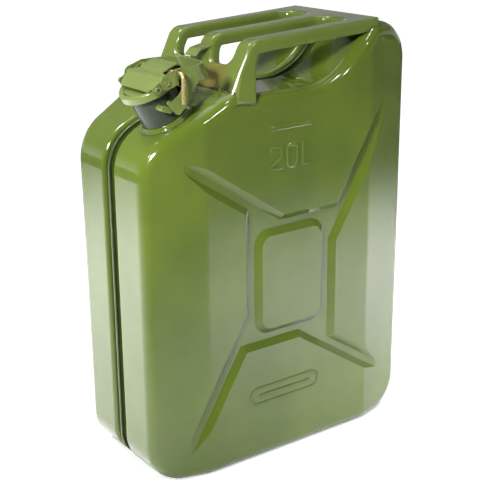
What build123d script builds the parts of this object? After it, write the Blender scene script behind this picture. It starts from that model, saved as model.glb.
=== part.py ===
"""Pressed-steel 20 litre fuel can with a lever-locked filler cap and a three-bar handle.

Millimetres.  +X points to the rear, the filler neck is at the front (-X), the left big
face is at -Y and +Z is up.  The origin is the middle of the base, on the ground.
"""
import os
from math import atan2, cos, degrees, radians, sin, tan

from build123d import *

# ---- driving dimensions -------------------------------------------------------------
LENGTH = 345.0            # front wall to rear wall
THICKNESS = 165.0         # big face to big face
SHEET = 1.0               # pressed steel of the two half shells
BASE_RADIUS = 40.0        # lower corners of the side view
FRONT_RADIUS = 50.0       # front wall into the shoulder
REAR_RADIUS = 45.0        # rear wall into the hump
SHOULDER_FRONT_Z = 364.0  # where front wall and shoulder would meet
CREST = (-72.0, 414.0)    # top of the sloping shoulder
SCOOP_FRONT = (-40.0, 408.0)
SCOOP_REAR = (55.0, 408.0)
HUMP_FRONT = (112.0, 465.0)
HUMP_REAR_Z = 469.0

CREASE_X = 108.0          # the big faces are flat between the two upright creases
CREASE_RADIUS = 18.0
END_SLOPE = 15.0          # beyond a crease the face falls away by this angle
FACE_RADIUS = 13.6        # rounding round each big face

GROOVE_HALF = 9.5         # half width of the sunken seam
GROOVE_DEPTH = 9.0
GROOVE_RADIUS = 4.5
FLANGE_INSET = 2.8        # weld flange edge below the outer surface
BEAD_INSET = 1.0
BEAD_HALF = 1.9

SWAGE_CENTRE_Z = 205.7    # middle of the pressed cross on each big face
SWAGE_DEPTH = 6.0
SWAGE_RUN = 7.0           # plan width of a sloping swage wall
PANEL_HALF_X = 39.5       # raised panel in the middle of the cross
PANEL_HALF_Z = 52.2
PANEL_RADIUS = 12.0
CROSS_X = 60.8            # inner corners of the side panels
CROSS_Z = 72.6            # inner corners of the top and bottom panels
SHALLOW_ANGLE = 33.8      # the two flatter arms of the cross
STEEP_ANGLE = 59.0        # the two steeper arms

MARK_HEIGHT = 1.2         # embossed marks stand this proud

NECK_X = -125.0           # neck base centre, on the left half of the shoulder
NECK_Y = -37.0
NECK_RADIUS = 23.7
NECK_BORE = 22.2
NECK_TOP = 40.0           # pouring rim above the shoulder, along the neck
FIT = 0.05                # gap between a part and the hole it is fixed in
RUN = 0.08                # gap of a turning pin in its hole

HINGE = (35.5, 16.0)      # closure hinge: along the shoulder, and up the neck
RIVET = (2.0, 46.8)       # lever rivets
LOCK = (18.2, 47.9)       # safety pin
LOCK_RADIUS = 1.9
PIN_LEG = 42.6            # hanging leg, measured from the neck's mid plane
EAR_INNER = 31.0          # the bridge's ears, measured from the neck's mid plane
EAR_SHEET = 1.6
LEVER_INNER = 33.2
LEVER_SHEET = 1.6
LEVER_OUTER = LEVER_INNER + LEVER_SHEET
LEVER_BEND = 25.0
LEVER_END = 55.5          # rear end of the lever's band

LEVER_RIVET_RADIUS = 2.0
STUD = (-9.0, 46.2)       # stop studs on the ears' front lobes
STUD_RADIUS = 2.0
SLOT_RADIUS = 16.24        # arc slot that clears the safety pin
PIN_RADIUS = 2.4
RIVET_RADIUS = 2.5
CHEEK_OUTER = 14.0        # hinge bracket cheeks
RAISED_HALF = 21.0        # raised rear of the cap bridge
STRAP_HALF = 11.5         # hinge strap of the cap bridge
BRIDGE_SHEET = 1.5
CAP_RADIUS = 30.5
CAP_TOP = 43.6            # middle of the cap; its rim stands prouder
CAP_RIM = 45.3
LUG_OUTER = 30.4
LUG_LENGTH = 7.5
LUG_WIDTH = 6.6
BREATHER_X = 14.0
BREATHER_RADIUS = 4.0
CATCH_Y = -1.0
CATCH_HALF = 10.0

BAR_HALF_SPAN = 75.0      # handle: outer side of the outer bars
BAR_WIDTH = 23.0
BAR_HEIGHT = 12.0
BAR_SHEET = 1.4
BAR_RADIUS = 5.0
BEND_RADIUS = 16.0
POST_HEEL = (-48.5, 396.0)
BAR_UNDER_FRONT = (-37.5, 448.6)
BAR_UNDER_REAR = (122.0, 457.3)
FOOT_TOP = 428.0          # the outer posts flare out below this, over the face's rounding
FOOT_BOTTOM = 398.6
GAP_TOP = 88.0
GAP_FLOOR = 45.5          # bottom of the U gaps, up the post from its foot
POST_FOOT = (-78.0, 396.0)
POST_TOP = (-46.5, 461.0)
BAR_REAR = (124.0, 470.6)

half_length = LENGTH / 2
half_thickness = THICKNESS / 2
shoulder_angle = atan2(CREST[1] - SHOULDER_FRONT_Z, CREST[0] + half_length)
neck_z = SHOULDER_FRONT_Z + (NECK_X + half_length) * tan(shoulder_angle)
along = Vector(cos(shoulder_angle), 0, sin(shoulder_angle))
neck_axis = Vector(-sin(shoulder_angle), 0, cos(shoulder_angle))
neck_base = Vector(NECK_X, NECK_Y, neck_z)

OUTLINE = [
    (-half_length, 0), (-half_length, SHOULDER_FRONT_Z), CREST, SCOOP_FRONT,
    SCOOP_REAR, HUMP_FRONT, (half_length, HUMP_REAR_Z), (half_length, 0),
]
OUTLINE_RADII = [BASE_RADIUS, FRONT_RADIUS, 40, 60, 80, 18, REAR_RADIUS, BASE_RADIUS]


def neck_plane(height):
    """A plane square to the neck at a height above the shoulder; its x runs rearward."""
    return Plane(neck_base + neck_axis * height, x_dir=along, z_dir=neck_axis)


def side_plane(across=0.0):
    """A plane in which x runs rearward along the shoulder and y up the neck; normal is -Y."""
    return Plane(neck_base + Vector(0, across, 0), x_dir=along, z_dir=(0, -1, 0))


os.makedirs("parts", exist_ok=True)


def save(part, name):
    part.part.label = name
    export_step(part.part, f"parts/{name}.step")
    print(name, round(part.part.volume / 1000, 2), "cm3")


def body_slab(inset, near, far):
    """The can's side view, drawn in by `inset`, as a slab between two distances to the left."""
    with BuildPart() as slab:
        with BuildSketch(Plane.XZ.offset(near)):
            with BuildLine():
                FilletPolyline(*OUTLINE, radius=OUTLINE_RADII, close=True)
            make_face()
            if inset:
                offset(amount=-inset)
        extrude(amount=far - near)
    return slab.part


def is_upright(edge):
    return edge.bounding_box().size.Z > LENGTH and edge.bounding_box().size.X < SHEET


def half_envelope(inset):
    """The left half of the can, every surface drawn in by `inset`."""
    face_y = half_thickness - inset
    crease = CREASE_X - inset * tan(radians(END_SLOPE / 2))
    beyond = LENGTH - crease
    end_y = -face_y + beyond * tan(radians(END_SLOPE))
    plan = [(-LENGTH, end_y), (-crease, -face_y), (crease, -face_y), (LENGTH, end_y),
            (LENGTH, LENGTH), (-LENGTH, LENGTH)]
    crease_radius = CREASE_RADIUS - inset
    with BuildPart() as envelope:
        add(body_slab(inset, GROOVE_HALF + inset, half_thickness))
        with BuildSketch(Plane.XY.offset(-LENGTH)):
            with BuildLine():
                FilletPolyline(*plan, close=True,
                               radius=[1, crease_radius, crease_radius, 1, 1, 1])
            make_face()
        extrude(amount=3 * LENGTH, mode=Mode.INTERSECT)
        rim = [edge for edge in envelope.edges()
               if edge.center().Y < -half_thickness / 2 and not is_upright(edge)]
        fillet(rim, FACE_RADIUS - inset)
        shoulder = [edge for edge in envelope.edges()
                    if abs(edge.center().Y + GROOVE_HALF + inset) < 0.01]
        fillet(shoulder, GROOVE_RADIUS - inset)
        add(body_slab(inset + GROOVE_DEPTH, 0, GROOVE_HALF + inset))
    return envelope.part


def cross_arm(corner, angle, reach):
    """The point where a panel edge, leaving `corner` at `angle`, has run out of the face."""
    x, z = corner
    return (x + reach * cos(radians(angle)), z + reach * sin(radians(angle)))


def swage_tool(grow, top, bottom):
    """The sunken cross between the pressed panels, from distance `top` in to `bottom`."""
    depth = top - bottom
    taper = degrees(atan2(SWAGE_RUN, SWAGE_DEPTH))
    top_left = (-10.5, CROSS_Z)
    top_right = (CROSS_X, CROSS_Z)
    right_top = (CROSS_X, 28.7)
    right_bottom = (CROSS_X, -80.8)
    reach = 160.0
    half = [
        top_left, top_right,
        cross_arm(top_right, STEEP_ANGLE, reach), cross_arm(right_top, STEEP_ANGLE, reach),
        right_top, right_bottom,
        cross_arm(right_bottom, -SHALLOW_ANGLE, reach),
        cross_arm((10.5, -CROSS_Z), -SHALLOW_ANGLE, reach),
    ]
    corners = half + [(-x, -z) for x, z in half]
    with BuildPart() as tool:
        plane = Plane(origin=(0, -top, SWAGE_CENTRE_Z), x_dir=(-1, 0, 0), z_dir=(0, 1, 0))
        with BuildSketch(plane):
            with BuildLine():
                Polyline(*[(-x, z) for x, z in corners], close=True)
            make_face()
            if grow:
                offset(amount=grow, kind=Kind.INTERSECTION)
        extrude(amount=depth, taper=taper)
        with BuildSketch(plane):
            RectangleRounded(2 * (PANEL_HALF_X - grow), 2 * (PANEL_HALF_Z - grow),
                             PANEL_RADIUS - grow)
        extrude(amount=depth, taper=-taper, mode=Mode.SUBTRACT)
    return tool.part


def marks_tool():
    """Capacity mark, level bar and a plain lozenge, raised on the left big face."""
    with BuildPart() as marks:
        with BuildSketch(Plane.XZ.offset(half_thickness)):
            with Locations((-1.5, 372)):
                SlotOverall(54, 5.5)
            with BuildLine():
                Polyline((-30, 346), (-30, 354.5), (-12, 354.5), (-12, 339.5), (-24.5, 331.5),
                         (-12, 331.5), (-12, 327.5), (-30, 327.5), (-30, 332.7), (-16, 341.7),
                         (-16, 350.5), (-26, 350.5), (-26, 346), close=True)
            make_face()
            with Locations((0, 341)):
                RectangleRounded(17, 27, 7)
            with Locations((0, 341)):
                RectangleRounded(9, 19, 3.5, mode=Mode.SUBTRACT)
            with BuildLine():
                Polyline((12, 354.5), (16, 354.5), (16, 331.5), (27, 331.5), (27, 327.5),
                         (12, 327.5), close=True)
            make_face()
            with Locations((-10, 78)):
                SlotOverall(96, 22)
            with Locations((-10, 78)):
                SlotOverall(89, 15, mode=Mode.SUBTRACT)
            with Locations((-10, 78)):
                SlotOverall(70, 4)
        extrude(amount=MARK_HEIGHT, taper=45)
    return marks.part


# ---- the two half shells ----------------------------------------------------------------
outer_envelope = half_envelope(0)
inner_envelope = half_envelope(SHEET)
swage_outer = swage_tool(0, half_thickness, half_thickness - SWAGE_DEPTH)
swage_inner = swage_tool(0.37, half_thickness - SHEET, half_thickness - SHEET - SWAGE_DEPTH)
flange = body_slab(FLANGE_INSET, 0, SHEET) - body_slab(GROOVE_DEPTH + SHEET / 2, 0, SHEET)
pressing = (outer_envelope - swage_outer) - (inner_envelope - swage_inner)
marks = marks_tool()

with BuildPart() as shell_left:
    add(pressing)
    add(flange)
    add(marks)
    with BuildSketch(neck_plane(-20)):
        Circle(NECK_RADIUS + FIT)
    extrude(amount=40, mode=Mode.SUBTRACT)
save(shell_left, "shell_left")

with BuildPart() as shell_right:
    add(mirror(pressing, about=Plane.XZ))
    add(mirror(flange, about=Plane.XZ))
    add(marks.rotate(Axis.Z, 180))
save(shell_right, "shell_right")

# ---- weld bead all round the two flanges ---------------------------------------------------
with BuildPart() as seam_weld:
    add(body_slab(BEAD_INSET, -BEAD_HALF, BEAD_HALF))
    add(body_slab(FLANGE_INSET, -BEAD_HALF, BEAD_HALF), mode=Mode.SUBTRACT)
save(seam_weld, "seam_weld")

# ---- carrying handle: one pressing with a post plate and three channel bars ------------------
post_lean = atan2(POST_TOP[1] - POST_FOOT[1], POST_TOP[0] - POST_FOOT[0])
bar_rise = atan2(BAR_REAR[1] - POST_TOP[1], BAR_REAR[0] - POST_TOP[0])
bar_centre = BAR_HALF_SPAN - BAR_WIDTH / 2
gap_near = BAR_WIDTH / 2
gap_far = BAR_HALF_SPAN - BAR_WIDTH
GAP_REAR_X = 97.0


def handle_line(depth):
    """Foot, bend and rear end of the handle's side view, `depth` inside its outer line."""
    post = Vector(sin(post_lean), -cos(post_lean)) * depth
    bar = Vector(sin(bar_rise), -cos(bar_rise)) * depth
    foot = Vector(*POST_FOOT) + post
    rear = Vector(*BAR_REAR) + bar
    half_turn = (post_lean - bar_rise) / 2
    mid = (post_lean + bar_rise) / 2
    top = Vector(*POST_TOP) + Vector(sin(mid), -cos(mid)) * (depth / cos(half_turn))
    return [foot, top, rear]


def skin_edges(solid, inset):
    """The long edges of the outer skin, without its seams, its foot and its rear end."""
    post_out = Vector(-sin(post_lean), 0, cos(post_lean))
    bar_out = Vector(-sin(bar_rise), 0, cos(bar_rise))
    skin = []
    for face in solid.faces():
        if face.geom_type == GeomType.PLANE:
            normal = face.normal_at()
            if max(normal.dot(post_out), normal.dot(bar_out)) > 0.999:
                skin.append(face)
        elif face.geom_type == GeomType.CYLINDER:
            if abs(face.radius - BEND_RADIUS + inset) < 0.01:
                skin.append(face)
    edges = [edge for face in skin for edge in face.edges()]
    chosen = []
    for edge in edges:
        shared = sum(edge.is_same(other) for other in edges) > 1
        middle = edge.center()
        at_end = middle.X > BAR_REAR[0] - 4 or middle.Z < POST_FOOT[1] + 3
        if not shared and not (at_end and edge.bounding_box().size.Y > BAR_HALF_SPAN):
            chosen.append(edge)
    return chosen


def handle_solid(inset, depth):
    """Post plate and bars as a solid strip with the U gaps cut, drawn in by `inset`."""
    outer = handle_line(inset)
    inner = handle_line(depth)
    radii = [0.2, BEND_RADIUS - inset, 0.2, 0.2, BEND_RADIUS - BAR_HEIGHT, 0.2]
    outer[2] = outer[2] - Vector(inset, 0)
    inner[2] = inner[2] - Vector(inset, 0)
    post_plane = Plane(origin=(POST_FOOT[0], 0, POST_FOOT[1]), x_dir=(0, 1, 0),
                       z_dir=(sin(post_lean), 0, -cos(post_lean)))
    with BuildPart() as solid:
        with BuildSketch(Plane.XZ):
            with BuildLine():
                FilletPolyline(*[(p.X, p.Y) for p in outer + inner[::-1]],
                               radius=radii, close=True)
            make_face()
        extrude(amount=BAR_HALF_SPAN - inset, both=True)
        with BuildSketch(Plane.XY.offset(POST_TOP[1] - 2 * BAR_HEIGHT)):
            for side in (-1, 1):
                with Locations(((GAP_REAR_X + POST_TOP[0]) / 2, side * (gap_near + gap_far) / 2)):
                    RectangleRounded(GAP_REAR_X - POST_TOP[0] + 2 * inset,
                                     gap_far - gap_near + 2 * inset, 14 + inset)
        extrude(amount=4 * BAR_HEIGHT, mode=Mode.SUBTRACT)
        with BuildSketch(post_plane.offset(-2 * BAR_HEIGHT)):
            for side in (-1, 1):
                with BuildLine():
                    FilletPolyline((side * (gap_far + inset), GAP_FLOOR - inset),
                                   (side * (gap_far + inset), GAP_TOP),
                                   (side * (gap_near - inset), GAP_TOP),
                                   (side * (gap_near - inset), GAP_FLOOR + 14),
                                   (side * (gap_near + 8 - inset), GAP_FLOOR - inset),
                                   radius=[12 + inset, 0.5, 0.5, 20, 10 + inset], close=True)
                make_face()
        extrude(amount=4 * BAR_HEIGHT, mode=Mode.SUBTRACT)
        fillet(skin_edges(solid, inset), BAR_RADIUS - inset)
    return solid.part


handle_outer = handle_solid(0, BAR_HEIGHT)
handle_inner = handle_solid(BAR_SHEET, BAR_HEIGHT + 2)
foot, top, rear = handle_line(BAR_RADIUS)
both_envelopes = outer_envelope + mirror(outer_envelope, about=Plane.XZ)

with BuildPart() as flare_blank:
    with BuildSketch(Plane.XZ.offset(BAR_HALF_SPAN - BAR_RADIUS)):
        with BuildLine():
            Polyline((handle_line(1.5)[0].X, FOOT_BOTTOM - 10), (handle_line(1.5)[1].X, POST_TOP[1]),
                     BAR_UNDER_FRONT, POST_HEEL, close=True)
        make_face()
    extrude(amount=BAR_RADIUS + 10)
with BuildPart() as post_flares:
    with BuildSketch(Plane.YZ.offset(POST_FOOT[0] - 10)):
        with BuildLine():
            Polyline((BAR_SHEET - BAR_HALF_SPAN, FOOT_TOP), (-BAR_HALF_SPAN, FOOT_TOP),
                     (0.1 - half_thickness, FOOT_BOTTOM + 7), (0.1 - half_thickness, FOOT_BOTTOM),
                     (-BAR_HALF_SPAN + 3, FOOT_BOTTOM - 4),
                     close=True)
        make_face()
    extrude(amount=60)
    add(flare_blank.part, mode=Mode.INTERSECT)
    mirror(about=Plane.XZ)

with BuildPart() as handle_frame:
    add(handle_outer)
    add(handle_inner, mode=Mode.SUBTRACT)
    with BuildSketch(Plane.XZ.offset(BAR_HALF_SPAN - BAR_SHEET)):
        with BuildLine():
            FilletPolyline((foot.X, foot.Y), (top.X, top.Y), (rear.X - 2, rear.Y), BAR_UNDER_REAR,
                           BAR_UNDER_FRONT, POST_HEEL,
                           radius=[0.5, BEND_RADIUS - BAR_RADIUS, 0.5, 0.5, 3, 0.5], close=True)
        make_face()
    extrude(amount=BAR_SHEET)
    mirror(about=Plane.XZ)
    add(post_flares)
    add(both_envelopes, mode=Mode.SUBTRACT)
    add(body_slab(BEAD_INSET, -BEAD_HALF, BEAD_HALF), mode=Mode.SUBTRACT)
save(handle_frame, "handle_frame")

# ---- catch on the middle post: a folded bracket with an eye ----------------------------------
with BuildPart() as cap_catch:
    with BuildSketch(Plane.XZ.offset(-CATCH_Y)):
        with BuildLine():
            FilletPolyline((-44, 450), (-53, 449.4), (-64.5, 446.8), (-70, 440.8), radius=3)
        trace(line_width=EAR_SHEET)
    extrude(amount=CATCH_HALF, both=True)
    with BuildSketch(Plane.XY.offset(440)):
        with Locations((-60, CATCH_Y + 2)):
            Circle(2.6)
    extrude(amount=30, mode=Mode.SUBTRACT)
    add(handle_outer, mode=Mode.SUBTRACT)
save(cap_catch, "cap_catch")

# ---- filler neck and what is fixed to it ------------------------------------------------------
with BuildPart() as filler_neck:
    with BuildSketch(side_plane()):
        with BuildLine():
            Polyline((NECK_BORE, -12), (NECK_BORE, NECK_TOP), (26, NECK_TOP), (26, 37.4),
                     (25, 36.4), (NECK_RADIUS, 36.4), (NECK_RADIUS, -12), close=True)
        make_face()
    revolve(axis=Axis(neck_base, neck_axis))
    lip = filler_neck.edges().filter_by(GeomType.CIRCLE)
    fillet([edge for edge in lip if abs(edge.radius - 26) < 0.01], 1.1)
save(filler_neck, "filler_neck")

with BuildPart() as neck_collar:
    with BuildSketch(side_plane()):
        with BuildLine():
            inner = NECK_RADIUS + FIT
            FilletPolyline((inner, 0), (inner, 4.6), (24.7, 4.6), (25.9, 1.9), (27.4, 1.7), (27.4, 0),
                           radius=[0.1, 0.3, 0.7, 1.0, 0.8, 0.1], close=True)
        make_face()
    revolve(axis=Axis(neck_base, neck_axis))
save(neck_collar, "neck_collar")

with BuildPart() as neck_lugs:
    with BuildSketch(side_plane()):
        with Locations(Location((-7.0, 22.0), -41.5)):
            SlotCenterToCenter(LUG_LENGTH, LUG_WIDTH)
    extrude(amount=LUG_OUTER, both=True)
    with BuildSketch(neck_plane(0)):
        Circle(NECK_RADIUS + FIT)
    extrude(amount=NECK_TOP, mode=Mode.SUBTRACT)
    fillet([edge for edge in neck_lugs.edges()
            if abs(abs(edge.center().Y - NECK_Y) - LUG_OUTER) < 0.01], 0.8)
save(neck_lugs, "neck_lugs")

with BuildPart() as breather_tube:
    with BuildLine(side_plane()) as breather_path:
        FilletPolyline((BREATHER_X, 32), (BREATHER_X, -22), (60, -22), radius=14)
    with BuildSketch(neck_plane(32)):
        with Locations((BREATHER_X, 0)):
            Circle(BREATHER_RADIUS)
        with Locations((BREATHER_X, 0)):
            Circle(BREATHER_RADIUS - 0.8, mode=Mode.SUBTRACT)
    sweep(path=breather_path.line)
save(breather_tube, "breather_tube")

with BuildPart() as breather_clip:
    with BuildSketch(neck_plane(12)):
        with Locations((BREATHER_X, 0)):
            Circle(BREATHER_RADIUS + 1.2)
        with Locations((NECK_BORE - 2.2, 0)):
            Rectangle(4, 5)
        with Locations((BREATHER_X, 0)):
            Circle(BREATHER_RADIUS + FIT, mode=Mode.SUBTRACT)
    extrude(amount=7)
save(breather_clip, "breather_clip")

with BuildPart() as hinge_bracket:
    with BuildSketch(side_plane()):
        with BuildLine():
            FilletPolyline((NECK_RADIUS + FIT, 8), (NECK_RADIUS + FIT, 25), (30, 25),
                           (HINGE[0] + 5, HINGE[1] + 3), (HINGE[0] + 5, HINGE[1] - 5), (29, 8),
                           radius=[0.5, 0.5, 5, 4, 4, 3], close=True)
        make_face()
    extrude(amount=CHEEK_OUTER, both=True)
    with BuildSketch(side_plane()):
        with Locations((NECK_RADIUS + EAR_SHEET + 20, HINGE[1])):
            Rectangle(40, 40)
    extrude(amount=CHEEK_OUTER - EAR_SHEET, both=True, mode=Mode.SUBTRACT)
    with BuildSketch(side_plane()):
        with Locations(HINGE):
            Circle(PIN_RADIUS + FIT)
    extrude(amount=2 * CHEEK_OUTER, both=True, mode=Mode.SUBTRACT)
save(hinge_bracket, "hinge_bracket")

with BuildPart() as hinge_pin:
    with BuildSketch(side_plane()):
        with Locations(HINGE):
            Circle(PIN_RADIUS)
    extrude(amount=CHEEK_OUTER + 1.5, both=True)
    with BuildSketch(side_plane(-CHEEK_OUTER - 0.1)):
        with Locations(HINGE):
            Circle(PIN_RADIUS + 1.5)
    extrude(amount=1.4)
    with BuildSketch(side_plane(CHEEK_OUTER + 1.5)):
        with Locations(HINGE):
            Circle(PIN_RADIUS + 1.5)
    extrude(amount=1.4)
save(hinge_pin, "hinge_pin")

# ---- cap: shell, gasket, retainer and the ribbed bridge over it ---------------------------------
with BuildPart() as cap_shell:
    with BuildSketch(side_plane()):
        with BuildLine():
            FilletPolyline((0, CAP_TOP), (24, CAP_TOP), (26.3, CAP_RIM), (CAP_RADIUS, CAP_RIM),
                           (CAP_RADIUS, 37.2), (CAP_RADIUS - 1.2, 37.2), (CAP_RADIUS - 1.2, 44.1),
                           (27.4, 44.1), (25.0, 42.4), (0, 42.4),
                           radius=[0.1, 1.0, 1.0, 2.2, 0.4, 0.4, 0.8, 0.5, 0.6, 0.1], close=True)
        make_face()
    revolve(axis=Axis(neck_base, neck_axis))
    with BuildSketch(neck_plane(30)):
        Circle(RIVET_RADIUS + FIT)
    extrude(amount=20, mode=Mode.SUBTRACT)
save(cap_shell, "cap_shell")

with BuildPart() as cap_gasket:
    with BuildSketch(neck_plane(NECK_TOP + 0.3)):
        Circle(24.6)
        Circle(RIVET_RADIUS + FIT, mode=Mode.SUBTRACT)
    extrude(amount=42.35 - NECK_TOP - 0.3)
save(cap_gasket, "cap_gasket")

with BuildPart() as gasket_retainer:
    with BuildSketch(neck_plane(NECK_TOP - 0.7)):
        Circle(17)
        Circle(RIVET_RADIUS + FIT, mode=Mode.SUBTRACT)
    extrude(amount=1)
save(gasket_retainer, "gasket_retainer")

BRIDGE_LINE = [
    (-16, 46.7), (-1.2, 50.0), (0.6, 51.9), (4.4, 51.9), (6.2, 50.0), (9, 50.0),
    (10.8, 51.9), (20, 51.7), (28, 50.4), (34.2, 44.0), (34.9, HINGE[1] + 3),
]
EAR_OUTER = EAR_INNER + EAR_SHEET
with BuildPart() as front_plate:
    with BuildSketch(side_plane()):
        with BuildLine():
            FilletPolyline(*BRIDGE_LINE[:6], radius=1.2)
        trace(line_width=BRIDGE_SHEET)
    extrude(amount=EAR_OUTER, both=True)
    with BuildSketch(neck_plane(40)):
        with BuildLine():
            Polyline((-20, 21.5), (-4.5, EAR_OUTER), (-4.5, 40), (-20, 40), close=True)
        make_face()
        mirror(about=Plane.XZ)
    extrude(amount=15, mode=Mode.SUBTRACT)

with BuildPart() as cap_bridge:
    with BuildSketch(side_plane()):
        with BuildLine():
            FilletPolyline((STUD[0] - 4, STUD[1] + 3.5), (-4, 50.4), (9, 50.4), (20, 51.6),
                           (22.5, 44), (18, 41), (3, 41), (STUD[0] - 4, STUD[1] - 4),
                           radius=[3, 3, 2, 2, 3, 3, 6, 3.5], close=True)
        make_face()
    extrude(amount=EAR_OUTER, both=True)
    with BuildSketch(side_plane()):
        with Locations((0, 45)):
            Rectangle(80, 40)
    extrude(amount=EAR_INNER, both=True, mode=Mode.SUBTRACT)
    add(front_plate.part)
    with BuildSketch(side_plane()):
        with BuildLine():
            FilletPolyline(*BRIDGE_LINE[5:9], radius=1.2)
        trace(line_width=BRIDGE_SHEET)
    extrude(amount=RAISED_HALF, both=True)
    with BuildSketch(side_plane()):
        with BuildLine():
            FilletPolyline(*BRIDGE_LINE[6:], radius=4)
        trace(line_width=BRIDGE_SHEET)
        with Locations(HINGE):
            Circle(PIN_RADIUS + 1.8)
    extrude(amount=STRAP_HALF, both=True)
    with BuildSketch(side_plane()):
        with Locations(HINGE):
            Circle(PIN_RADIUS + RUN)
        with Locations(RIVET):
            Circle(LEVER_RIVET_RADIUS + FIT)
        with Locations(LOCK):
            Circle(LOCK_RADIUS + 0.35)
        with Locations(STUD):
            Circle(STUD_RADIUS + FIT)
    extrude(amount=50, both=True, mode=Mode.SUBTRACT)
save(cap_bridge, "cap_bridge")

with BuildPart() as retainer_rivet:
    with BuildSketch(neck_plane(NECK_TOP - 1.9)):
        Circle(RIVET_RADIUS + 2)
    extrude(amount=1.2)
    with BuildSketch(neck_plane(NECK_TOP - 0.7)):
        Circle(RIVET_RADIUS)
    extrude(amount=CAP_TOP - NECK_TOP + 1)
    with BuildSketch(neck_plane(CAP_TOP)):
        Circle(RIVET_RADIUS + 3.5)
    extrude(amount=7)
    add(cap_bridge.part, mode=Mode.SUBTRACT)
    lowest = retainer_rivet.solids().sort_by(Axis(neck_base, neck_axis))[0]
retainer_rivet.part = Part() + lowest
save(retainer_rivet, "retainer_rivet")

with BuildPart() as stop_studs:
    for hand in (-1, 1):
        for radius, start, finish in (
            (STUD_RADIUS, EAR_INNER, EAR_OUTER + 1),
            (STUD_RADIUS + 1.0, EAR_OUTER, EAR_OUTER + 3.4),
        ):
            with BuildSketch(side_plane(hand * start)):
                with Locations(STUD):
                    Circle(radius)
            extrude(amount=-hand * (finish - start))
    with BuildSketch(side_plane()):
        with Locations(STUD):
            Circle(STUD_RADIUS - 0.2)
    extrude(amount=EAR_OUTER + 10, both=True, mode=Mode.SUBTRACT)
    with BuildSketch(side_plane()):
        with Locations(STUD):
            Circle(STUD_RADIUS)
    extrude(amount=EAR_OUTER + 1.4, both=True)
    with BuildSketch(side_plane()):
        with Locations(STUD):
            Circle(10)
    extrude(amount=EAR_INNER, both=True, mode=Mode.SUBTRACT)
save(stop_studs, "stop_studs")

# ---- lever: a bent band with two side cheeks, and the rivets it turns on -------------------------
LEVER_SIDE = [
    (1, 54.8), (20, 52.3), (LEVER_END + 4, 33.8), (LEVER_END + 4, 20.5), (45, 22.5), (36, 29.5),
    (28, 26.5), (11, 15), (0, 11.8), (-3, 14.5), (-7, 30.5), (13.4, 30.3), (13.4, 38.8), (0, 40),
    (-5.5, 47.5),
]
LEVER_ROUND = [6, 8, 2, 2, 5, 5, 5, 5, 3, 2, 2, 3, 4, 6, 6.3]
with BuildPart() as lever_blank:
    with BuildSketch(neck_plane(0)):
        with BuildLine():
            Line((-30, -LEVER_OUTER), (LEVER_END - LEVER_BEND, -LEVER_OUTER))
            RadiusArc((LEVER_END - LEVER_BEND, -LEVER_OUTER), (LEVER_END, LEVER_BEND - LEVER_OUTER),
                      -LEVER_BEND)
            Line((LEVER_END, LEVER_BEND - LEVER_OUTER), (LEVER_END, LEVER_OUTER - LEVER_BEND))
            RadiusArc((LEVER_END, LEVER_OUTER - LEVER_BEND), (LEVER_END - LEVER_BEND, LEVER_OUTER),
                      -LEVER_BEND)
            Line((LEVER_END - LEVER_BEND, LEVER_OUTER), (-30, LEVER_OUTER))
            Line((-30, LEVER_OUTER), (-30, -LEVER_OUTER))
        make_face()
        offset(amount=-LEVER_SHEET, mode=Mode.SUBTRACT)
    extrude(amount=60)
with BuildPart() as lever_band:
    with BuildSketch(side_plane()):
        with BuildLine():
            FilletPolyline(*LEVER_SIDE, radius=LEVER_ROUND, close=True)
        make_face()
    extrude(amount=LEVER_OUTER + 5, both=True)
    add(lever_blank.part, mode=Mode.INTERSECT)
    with BuildSketch(side_plane()):
        with Locations(RIVET):
            Circle(LEVER_RIVET_RADIUS + RUN)
        with BuildLine():
            CenterArc(RIVET, SLOT_RADIUS, 12.5, -118)
        trace(line_width=2 * LOCK_RADIUS + 1.4)
    extrude(amount=50, both=True, mode=Mode.SUBTRACT)
save(lever_band, "lever_band")

with BuildPart() as lever_rivets:
    for hand in (-1, 1):
        for radius, start, finish in (
            (LEVER_RIVET_RADIUS, EAR_INNER, LEVER_OUTER + 0.5),
            (LEVER_RIVET_RADIUS + 1.4, LEVER_OUTER + FIT, LEVER_OUTER + 1.5),
        ):
            with BuildSketch(side_plane(hand * start)):
                with Locations(RIVET):
                    Circle(radius)
            extrude(amount=-hand * (finish - start))
        with BuildSketch(side_plane(hand * (LEVER_OUTER + 1.0))):
            with Locations(RIVET):
                Circle(1.3)
        extrude(amount=-hand * 2, mode=Mode.SUBTRACT)
save(lever_rivets, "lever_rivets")

with BuildPart() as safety_pin:
    with BuildLine() as pin_line:
        FilletPolyline(
            side_plane(38).from_local_coords((LOCK[0], LOCK[1], 0)),
            side_plane(-PIN_LEG).from_local_coords((LOCK[0], LOCK[1], 0)),
            side_plane(-PIN_LEG).from_local_coords((LOCK[0] - 13.2, LOCK[1] - 25.3, 0)),
            radius=5,
        )
    with BuildSketch(Plane(pin_line.line @ 0, z_dir=(0, -1, 0))):
        Circle(LOCK_RADIUS)
    sweep(path=pin_line.line)
save(safety_pin, "safety_pin")
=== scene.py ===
"""Looks for the jerry can: paint, plated steel, rubber and brass on the CAD frame, with its welds.

Lengths are in metres: +X to the rear, +Y to the right big face, +Z up from the middle of the base.
"""
import math
import random

import bmesh
import bpy
from mathutils import Matrix, Vector


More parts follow.
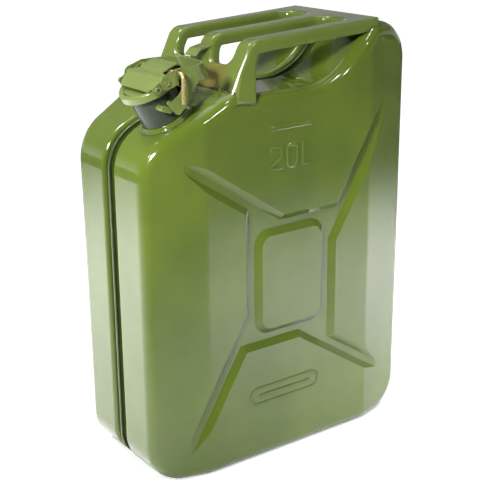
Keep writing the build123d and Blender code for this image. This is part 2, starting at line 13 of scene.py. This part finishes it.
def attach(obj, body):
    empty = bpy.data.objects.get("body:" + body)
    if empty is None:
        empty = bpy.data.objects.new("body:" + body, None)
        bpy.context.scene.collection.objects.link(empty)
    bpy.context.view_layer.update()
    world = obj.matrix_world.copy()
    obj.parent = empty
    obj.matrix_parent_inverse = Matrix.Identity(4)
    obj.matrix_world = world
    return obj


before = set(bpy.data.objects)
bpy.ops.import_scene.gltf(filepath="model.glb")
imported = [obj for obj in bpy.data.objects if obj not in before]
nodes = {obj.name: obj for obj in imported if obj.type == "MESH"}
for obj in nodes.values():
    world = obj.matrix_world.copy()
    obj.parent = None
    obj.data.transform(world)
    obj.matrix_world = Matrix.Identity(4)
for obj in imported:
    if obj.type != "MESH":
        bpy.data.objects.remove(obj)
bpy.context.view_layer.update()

# ---- colours, linear RGB -----------------------------------------------------------------------
GREEN_BASE = (0.122, 0.176, 0.019)
GREEN_DEEP = (0.085, 0.130, 0.016)
GREEN_DUST = (0.21, 0.25, 0.11)
# Colour of the painted shade in the enamel's corners.
PAINT_CORNER_SHADE = (0.035, 0.062, 0.008)
WORN_METAL = (0.50, 0.47, 0.36)
# Colour of the painted shade in the plating's corners.
PLATE_CORNER_SHADE = (0.08, 0.075, 0.05)
PLATE_SHINE = (0.92, 0.90, 0.84)
RUST = (0.165, 0.115, 0.020)
SOOT = (0.012, 0.015, 0.005)
WHITE = (1.0, 1.0, 1.0, 1.0)

# ---- shader building blocks --------------------------------------------------------------------


def new_material(name):
    material = bpy.data.materials.new(name)
    material.use_nodes = True
    tree = material.node_tree
    return material, tree, tree.nodes["Principled BSDF"]


def node(tree, kind, **settings):
    """A new node; each setting goes to the input of that name, or else to the node's property."""
    made = tree.nodes.new(kind)
    for key, value in settings.items():
        if key in made.inputs:
            made.inputs[key].default_value = value
        else:
            setattr(made, key, value)
    return made


def feed(tree, socket, value):
    """Links a socket to an output, or sets it to a number or a colour."""
    if isinstance(value, (int, float)):
        socket.default_value = value
    elif isinstance(value, tuple):
        socket.default_value = (*value, 1.0)
    else:
        tree.links.new(value, socket)


def object_coords(tree):
    for existing in tree.nodes:
        if existing.bl_idname == "ShaderNodeTexCoord":
            return existing.outputs["Object"]
    return tree.nodes.new("ShaderNodeTexCoord").outputs["Object"]


def noise(tree, scale, detail=2.0, roughness=0.5, coords=None):
    made = node(tree, "ShaderNodeTexNoise", Scale=scale, Detail=detail, Roughness=roughness)
    tree.links.new(coords or object_coords(tree), made.inputs["Vector"])
    return made.outputs["Fac"]


def map_range(tree, value, low, high, to_low=0.0, to_high=1.0):
    made = node(tree, "ShaderNodeMapRange")
    for socket, entry in zip(made.inputs, (value, low, high, to_low, to_high)):
        feed(tree, socket, entry)
    return made.outputs[0]


def math_node(tree, operation, first, second):
    made = node(tree, "ShaderNodeMath", operation=operation)
    for socket, value in zip(made.inputs, (first, second)):
        feed(tree, socket, value)
    return made.outputs[0]


def mix_colour(tree, factor, first, second):
    made = node(tree, "ShaderNodeMix", data_type="RGBA")
    factor_socket, first_socket, second_socket = made.inputs[0], made.inputs[6], made.inputs[7]
    feed(tree, factor_socket, factor)
    feed(tree, first_socket, first)
    feed(tree, second_socket, second)
    return made.outputs[2]


def bump_chain(tree, shader, *layers, base=None):
    """Stacks bumps of (height, strength, distance in metres) and sends them to the shader."""
    previous = base
    for height, strength, distance in layers:
        bump = node(tree, "ShaderNodeBump", Strength=strength, Distance=distance)
        tree.links.new(height, bump.inputs["Height"])
        if previous:
            tree.links.new(previous, bump.inputs["Normal"])
        previous = bump.outputs["Normal"]
    tree.links.new(previous, shader.inputs["Normal"])


def occlusion_shade_mask(tree, distance, low=0.35, high=0.95):
    """1 in tight corners, 0 on open surfaces: the mask of the painted shade in corners."""
    ao = node(tree, "ShaderNodeAmbientOcclusion", samples=4, Distance=distance)
    return map_range(tree, ao.outputs["AO"], low, high, 1.0, 0.0)


def edge_mask(tree, radius, low=0.03, high=0.25):
    """1 on sharp edges, by comparing the rounded normal with the true one."""
    bevel = node(tree, "ShaderNodeBevel", samples=4, Radius=radius)
    geometry = node(tree, "ShaderNodeNewGeometry")
    dot = node(tree, "ShaderNodeVectorMath", operation="DOT_PRODUCT")
    tree.links.new(bevel.outputs[0], dot.inputs[0])
    tree.links.new(geometry.outputs["Normal"], dot.inputs[1])
    away = math_node(tree, "SUBTRACT", 1.0, dot.outputs["Value"])
    return map_range(tree, away, low, high)


# ---- materials ---------------------------------------------------------------------------------


def scorch(tree, colour, centre, radius, tint, amount):
    """Tints a ragged ball round centre, where welding burnt the paint."""
    offset = node(tree, "ShaderNodeVectorMath", operation="DISTANCE")
    offset.inputs[1].default_value = centre
    tree.links.new(object_coords(tree), offset.inputs[0])
    ragged = math_node(tree, "MULTIPLY", noise(tree, 55.0, 3.0), radius * 0.7)
    reach = math_node(tree, "ADD", offset.outputs["Value"], ragged)
    near = map_range(tree, reach, radius * 0.55, radius * 1.35, amount, 0.0)
    return mix_colour(tree, near, colour, tint)


def paint(name, wear=0.0, base=GREEN_BASE, deep=GREEN_DEEP, rough=(0.10, 0.20), heat=(),
          coat=0.8, soften=0.0):
    """Glossy enamel on pressed steel, with slow colour patches, painted shade in corners and a
    little dust.

    wear bares the metal on edges, heat lists scorched spots for scorch(), coat is the clear
    layer's weight and soften is a radius over which the shading rounds sharp edges.
    """
    material, tree, shader = new_material(name)
    patches = map_range(tree, noise(tree, 9.0, 3.0), 0.3, 0.7)
    colour = mix_colour(tree, patches, deep, base)
    # Painted shade: the colour darkens where ambient occlusion finds tight corners.
    shade_in_corners = math_node(tree, "MULTIPLY", occlusion_shade_mask(tree, 0.010), 0.55)
    colour = mix_colour(tree, shade_in_corners, colour, PAINT_CORNER_SHADE)
    speckle = map_range(tree, noise(tree, 260.0, 4.0, 0.7), 0.62, 0.74)
    colour = mix_colour(tree, math_node(tree, "MULTIPLY", speckle, 0.10), colour, GREEN_DUST)
    for centre, radius, tint, amount in heat:
        colour = scorch(tree, colour, centre, radius, tint, amount)
    roughness = map_range(tree, noise(tree, 30.0, 4.0, 0.6), 0.3, 0.7, *rough)
    if wear:
        broken = map_range(tree, noise(tree, 420.0, 5.0, 0.7), 0.42, 0.60)
        worn = math_node(tree, "MULTIPLY", edge_mask(tree, 0.0007), broken)
        worn = math_node(tree, "MULTIPLY", worn, wear)
        colour = mix_colour(tree, worn, colour, WORN_METAL)
        dull = math_node(tree, "MULTIPLY", worn, 0.45)
        roughness = math_node(tree, "MAXIMUM", roughness, dull)
    tree.links.new(colour, shader.inputs["Base Color"])
    tree.links.new(roughness, shader.inputs["Roughness"])
    shader.inputs["Specular IOR Level"].default_value = 0.3
    shader.inputs["Coat Weight"].default_value = coat
    shader.inputs["Coat Roughness"].default_value = 0.035
    shader.inputs["Coat IOR"].default_value = 1.6
    rounded = None
    if soften:
        rounded = node(tree, "ShaderNodeBevel", samples=4, Radius=soften).outputs[0]
    bump_chain(
        tree, shader,
        (noise(tree, 11.0, 1.0), 0.35, 0.0025),     # slow waves of the pressed sheet
        (noise(tree, 70.0, 2.0), 0.12, 0.0006),     # orange peel
        (noise(tree, 900.0, 2.0), 0.08, 0.00012),   # fine grain
        base=rounded,
    )
    return material


def plated(name, colour, tint, rough=(0.22, 0.38), brushed=True, wear=0.25, metal=1.0):
    """Zinc or brass plated steel: yellowish patches, drawn lines and painted shade in corners."""
    material, tree, shader = new_material(name)
    patches = map_range(tree, noise(tree, 60.0, 4.0, 0.6), 0.35, 0.65)
    mixed = mix_colour(tree, patches, colour, tint)
    # Painted shade: the colour darkens where ambient occlusion finds tight corners.
    shade_in_corners = math_node(tree, "MULTIPLY", occlusion_shade_mask(tree, 0.006), 0.7)
    mixed = mix_colour(tree, shade_in_corners, mixed, PLATE_CORNER_SHADE)
    edge = math_node(tree, "MULTIPLY", edge_mask(tree, 0.0005), wear)
    mixed = mix_colour(tree, edge, mixed, PLATE_SHINE)
    tree.links.new(mixed, shader.inputs["Base Color"])
    shader.inputs["Metallic"].default_value = metal
    roughness = map_range(tree, noise(tree, 120.0, 4.0), 0.3, 0.7, *rough)
    tree.links.new(roughness, shader.inputs["Roughness"])
    if brushed:
        mapping = node(tree, "ShaderNodeMapping", Scale=(1.0, 0.06, 1.0))
        tree.links.new(object_coords(tree), mapping.inputs["Vector"])
        fine = noise(tree, 1600.0, 3.0, coords=mapping.outputs["Vector"])
    else:
        fine = noise(tree, 1400.0, 3.0)
    bump_chain(
        tree, shader,
        (noise(tree, 160.0, 2.0), 0.12, 0.0003),    # uneven plating
        (fine, 0.15, 0.00008),                      # drawn lines or grain
    )
    return material


def rubber(name):
    """Matt black rubber with a pale bloom."""
    material, tree, shader = new_material(name)
    bloom = map_range(tree, noise(tree, 90.0, 4.0, 0.6), 0.4, 0.7)
    colour = mix_colour(tree, bloom, (0.016, 0.016, 0.015), (0.035, 0.034, 0.031))
    tree.links.new(colour, shader.inputs["Base Color"])
    roughness = map_range(tree, noise(tree, 200.0), 0.3, 0.7, 0.55, 0.75)
    tree.links.new(roughness, shader.inputs["Roughness"])
    bump_chain(tree, shader, (noise(tree, 700.0, 3.0), 0.2, 0.0001))
    return material


# Scorched spots at the foot of the handle's left post: centre, radius, tint and strength.
POST_SCORCH = (
    ((-0.066, -0.032, 0.418), 0.034, RUST, 0.85),
    ((-0.070, -0.061, 0.414), 0.015, SOOT, 0.95),
)

body_paint = paint("olive_enamel")
closure_paint = paint("olive_enamel_worn", wear=0.75, rough=(0.16, 0.28),
                      base=(0.190, 0.250, 0.060), deep=(0.150, 0.205, 0.045))
handle_paint = paint("olive_enamel_handle", wear=0.12, soften=0.003, heat=POST_SCORCH,
                     base=(0.155, 0.215, 0.040), deep=(0.125, 0.175, 0.030))
neck_paint = paint("neck_enamel", wear=0.3, rough=(0.20, 0.32), coat=0.2,
                   base=(0.050, 0.062, 0.040), deep=(0.034, 0.045, 0.028))
groove_paint = paint("seam_enamel", rough=(0.22, 0.40),
                     base=(0.045, 0.058, 0.026), deep=(0.018, 0.025, 0.011))
zinc = plated("zinc_plate", (0.66, 0.65, 0.58), (0.62, 0.58, 0.44))
brass = plated("brass_wire", (0.95, 0.72, 0.34), (0.86, 0.62, 0.26), rough=(0.20, 0.34),
               brushed=False, metal=0.7)
gasket_rubber = rubber("seal_rubber")
bead_paint = paint("weld_enamel", rough=(0.25, 0.45),
                   base=(0.075, 0.105, 0.020), deep=(0.030, 0.042, 0.010))
scorched_paint = paint("scorched_enamel", rough=(0.35, 0.55), coat=0.15,
                       base=(0.10, 0.08, 0.022), deep=(0.02, 0.02, 0.008))

FINISHES = {
    "shell_left": body_paint,
    "shell_right": body_paint,
    "seam_weld": groove_paint,
    "handle_frame": handle_paint,
    "cap_catch": closure_paint,
    "filler_neck": neck_paint,
    "neck_collar": body_paint,
    "neck_lugs": closure_paint,
    "breather_tube": zinc,
    "breather_clip": zinc,
    "hinge_bracket": closure_paint,
    "hinge_pin": zinc,
    "cap_bridge": closure_paint,
    "cap_shell": closure_paint,
    "cap_gasket": gasket_rubber,
    "gasket_retainer": zinc,
    "retainer_rivet": zinc,
    "stop_studs": closure_paint,
    "lever_band": closure_paint,
    "lever_rivets": closure_paint,
    "safety_pin": brass,
}
for name, material in FINISHES.items():
    mesh = nodes[name].data
    mesh.materials.clear()
    mesh.materials.append(material)

# ---- weld beads, laid drop by drop where the CAD parts meet --------------------------------------
DOWN = Vector((0, 0, -1))
SHELLS = ["shell_left", "shell_right"]
SHELL_STEP = 0.002                      # in Y, between the rays that find the shells
GROOVE_STEPS = 5                        # steps to each side of the seam that hold no weld

# Rays that find the seam run in to SEAM_MIDDLE from SEAM_RAY away.
SEAM_MIDDLE = Vector((0, 0, 0.22))
SEAM_RAY = 0.5
# The handle's foot and rear end cover the seam above this height, between these X.
COVERED_Z = 0.38
COVERED_X = ((-0.084, -0.060), (0.100, 0.130))

# The post plate leans to the rear by POST_LEAN for each metre up from its heel.
POST_HEEL_X, POST_HEEL_Z = -0.078, 0.396
POST_LEAN = 0.4846
POST_OUTWARD = Vector((-0.75, 0, 0.66))
POST_FIRST_X = -0.0735                  # a first guess at where the plate meets the shells
POST_RAY_Z = 0.44

REAR_END_X = 0.1248
REAR_RAY_Z = 0.50

NECK_UP = Vector((-0.4454, 0, 0.8953))
NECK_ALONG = Vector((0.8953, 0, 0.4454))
NECK_ACROSS = Vector((0, 1, 0))
NECK_FOOT = Vector((-0.125, -0.037, 0.38763))
COLLAR_EDGE = 0.0277                    # from the neck's axis to the collar's outer edge
COLLAR_RAY = 0.03                       # height over the shoulder that the rays start from

chance = random.Random(20)


def add_object(name, data):
    made = bpy.data.objects.new(name, data)
    bpy.context.scene.collection.objects.link(made)
    return made


def hit(names, start, direction):
    """The nearest point and normal on the named nodes along a ray, or None."""
    found = None
    for name in names:
        to_world = nodes[name].matrix_world
        to_local = to_world.inverted()
        struck, place, normal, _ = nodes[name].ray_cast(
            to_local @ Vector(start), to_local.to_3x3() @ Vector(direction))
        if struck:
            place = to_world @ place
            far = (place - Vector(start)).length
            if found is None or far < found[0]:
                found = (far, place, (to_world.to_3x3() @ normal).normalized())
    return found and found[1:]


def weld(name, spots, size, material, body="can"):
    """One mesh of flattened drops, one on each spot: a place, the bead's run and its outer side.

    size is a drop's half length, half width and half height.
    """
    length, width, height = size
    ball = bmesh.new()
    bmesh.ops.create_uvsphere(ball, u_segments=8, v_segments=6, radius=1.0)
    corners = [vert.co.copy() for vert in ball.verts]
    rings = [[vert.index for vert in face.verts] for face in ball.faces]
    ball.free()
    verts, faces = [], []
    for place, run, out in spots:
        side = out.cross(run).normalized()
        out = run.cross(side).normalized()
        wobble = [chance.uniform(0.85, 1.15) for _ in range(3)]
        place = place + side * chance.uniform(-0.08, 0.08) * width
        turn = Matrix((run.normalized() * length * wobble[0], side * width * wobble[1],
                       out * height * wobble[2])).transposed()
        faces += [[index + len(verts) for index in ring] for ring in rings]
        verts += [turn @ corner + place for corner in corners]
    mesh = bpy.data.meshes.new(name)
    mesh.from_pydata(verts, [], faces)
    mesh.polygons.foreach_set("use_smooth", [True] * len(mesh.polygons))
    mesh.materials.append(material)
    made = add_object(name, mesh)
    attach(made, body)


def every(points, step):
    """Evenly spaced (place, direction, outward) along a polyline of (place, outward)."""
    spots, travelled, due = [], 0.0, 0.0
    for (place, out), (following, _) in zip(points, points[1:]):
        span = following - place
        while due < travelled + span.length:
            spots.append((place + span * ((due - travelled) / span.length), span, out))
            due += step
        travelled += span.length
    return spots


def every_half(points, step):
    """The same along the left and the right half of a path, which the seam's groove parts."""
    left = [point for point in points if point[0].y < 0]
    right = [point for point in points if point[0].y > 0]
    return every(left, step) + every(right, step)


def is_covered(place):
    """True where the handle hides the seam."""
    return place.z > COVERED_Z and any(low < place.x < high for low, high in COVERED_X)


def full_turn(count):
    """Angles evenly round a circle, ending on the first one again."""
    return [math.radians(360 * turn / count) for turn in range(count + 1)]


def across_shells(count):
    """Y at count steps to each side of the seam, without those over its groove."""
    return [step * SHELL_STEP for step in range(-count, count + 1) if abs(step) > GROOVE_STEPS]


seam_path = []
for angle in full_turn(1440):
    outward = Vector((math.cos(angle), 0, math.sin(angle)))
    found = hit(["seam_weld"], SEAM_MIDDLE + outward * SEAM_RAY, -outward)
    if found:
        seam_path.append(found)
open_seam = [spot for spot in every(seam_path, 0.0034) if not is_covered(spot[0])]
weld("seam_ripple", open_seam, (0.0026, 0.0016, 0.0006), bead_paint)

foot_path = []
for across in across_shells(32):
    plate_x = POST_FIRST_X
    for _ in range(4):                  # closes in on the line where plate and shell cross
        height = hit(SHELLS, (plate_x, across, POST_RAY_Z), DOWN)[0].z
        plate_x = POST_HEEL_X + (height - POST_HEEL_Z) * POST_LEAN
    foot_path.append((Vector((plate_x, across, height)), POST_OUTWARD))
weld("foot_welds", every_half(foot_path, 0.0056), (0.0024, 0.0016, 0.0015), scorched_paint)

rear_path = []
for across in across_shells(35):
    found = hit(SHELLS, (REAR_END_X, across, REAR_RAY_Z), DOWN)
    if found:
        rear_path.append(found)
weld("rear_welds", every_half(rear_path, 0.0032), (0.0024, 0.0014, 0.0009), bead_paint)

collar_path = []
for angle in full_turn(120):
    outward = NECK_ALONG * math.cos(angle) + NECK_ACROSS * math.sin(angle)
    found = hit(["shell_left"], NECK_FOOT + outward * COLLAR_EDGE + NECK_UP * COLLAR_RAY, -NECK_UP)
    if found:
        collar_path.append(found)
weld("collar_weld", every(collar_path, 0.0030), (0.0022, 0.0012, 0.0007), bead_paint)

# ---- floor -------------------------------------------------------------------------------------
floor_mesh = bpy.data.meshes.new("floor")
disc = bmesh.new()
bmesh.ops.create_circle(disc, cap_ends=True, radius=9.0, segments=96)
disc.to_mesh(floor_mesh)
disc.free()
floor = add_object("floor", floor_mesh)
floor_material, floor_tree, floor_shader = new_material("pale_floor")
floor_colour = mix_colour(floor_tree, noise(floor_tree, 1.5), (0.86, 0.86, 0.86),
                          (0.90, 0.90, 0.90))
floor_tree.links.new(floor_colour, floor_shader.inputs["Base Color"])
floor_shader.inputs["Roughness"].default_value = 0.6
floor_shader.inputs["Emission Color"].default_value = WHITE
# The camera sees the floor fade to white away from the can; no other ray sees that glow.
distance = node(floor_tree, "ShaderNodeVectorMath", operation="LENGTH")
floor_tree.links.new(object_coords(floor_tree), distance.inputs[0])
glow = map_range(floor_tree, distance.outputs["Value"], 0.25, 0.9, 0.50, 1.0)
seen = node(floor_tree, "ShaderNodeLightPath").outputs["Is Camera Ray"]
floor_tree.links.new(math_node(floor_tree, "MULTIPLY", glow, seen),
                     floor_shader.inputs["Emission Strength"])
floor_mesh.materials.append(floor_material)

# ---- world: white to the camera; to the rest, a grey that grows to the rear right and horizon ----
world = bpy.data.worlds.new("soft_world")
bpy.context.scene.world = world
world.use_nodes = True
world_tree = world.node_tree
background = world_tree.nodes["Background"]
direction = node(world_tree, "ShaderNodeTexCoord")
split = node(world_tree, "ShaderNodeSeparateXYZ")
world_tree.links.new(direction.outputs["Generated"], split.inputs[0])
rearward = math_node(world_tree, "MULTIPLY", split.outputs["X"], 0.45)
rightward = math_node(world_tree, "MULTIPLY", split.outputs["Y"], 0.89)
facing = math_node(world_tree, "ADD", rearward, rightward)
grey = map_range(world_tree, facing, -0.75, 0.6, 0.04, 0.85)
horizon = map_range(world_tree, split.outputs["Z"], 0.02, 0.22, 1.0, 0.22)
level = math_node(world_tree, "MULTIPLY", grey, horizon)
path = node(world_tree, "ShaderNodeLightPath")
shown = math_node(world_tree, "MAXIMUM", level, path.outputs["Is Camera Ray"])
world_tree.links.new(shown, background.inputs["Strength"])
background.inputs["Color"].default_value = WHITE

# ---- lights ------------------------------------------------------------------------------------
# Name, place, target, size, watts and spread in degrees. The pools light patches of the floor that
# the can's walls reflect; the edge lamps draw the fine highlights along the shoulder and the post.
LIGHTS = (
    ("back_pool", (-0.60, 0.75, 1.7), (-0.55, 0.50, 0.0), 0.55, 10, 60),
    ("right_pool", (0.82, -0.28, 1.4), (0.67, -0.27, 0.0), 0.45, 4.0, 46),
    ("front_pool", (0.22, -0.75, 1.5), (0.27, -0.45, 0.0), 0.35, 1.8, 42),
    ("key", (-1.42, -0.88, 1.15), (0.0, 0.0, 0.27), 0.28, 2.0, 38),
    ("top", (0.1, 0.35, 1.9), (0.0, 0.0, 0.3), 1.2, 5.5, 180),
    ("near_edge", (0.18, -1.31, 1.39), (-0.09, -0.08, 0.40), 0.14, 2.0, 180),
    ("front_edge", (-1.35, -0.25, 1.16), (-0.06, -0.07, 0.42), 0.12, 1.4, 180),
)
for name, place, target, size, watts, spread in LIGHTS:
    lamp = bpy.data.lights.new(name, "AREA")
    lamp.energy = watts
    lamp.size = size
    lamp.spread = math.radians(spread)
    light = add_object(name, lamp)
    light.location = place
    aim = Vector(target) - Vector(place)
    light.rotation_euler = aim.to_track_quat("-Z", "Y").to_euler()

# ---- camera ------------------------------------------------------------------------------------
CAMERA_PLACE = Vector((-0.68896, -0.95257, 0.62157))
CAMERA_RIGHT = Vector((0.81202, -0.58353, -0.01067))
CAMERA_UP = Vector((0.19440, 0.25320, 0.94768))
camera_data = bpy.data.cameras.new("camera")
camera_data.lens = 82.6
camera_data.sensor_width = 36.0
camera_data.clip_end = 50.0
camera = add_object("camera", camera_data)
axes = (CAMERA_RIGHT, CAMERA_UP, CAMERA_RIGHT.cross(CAMERA_UP))
camera.matrix_world = Matrix.Translation(CAMERA_PLACE) @ Matrix(axes).transposed().to_4x4()
bpy.context.scene.camera = camera
bpy.context.scene.view_settings.view_transform = "Standard"
bpy.context.scene.view_settings.look = "None"
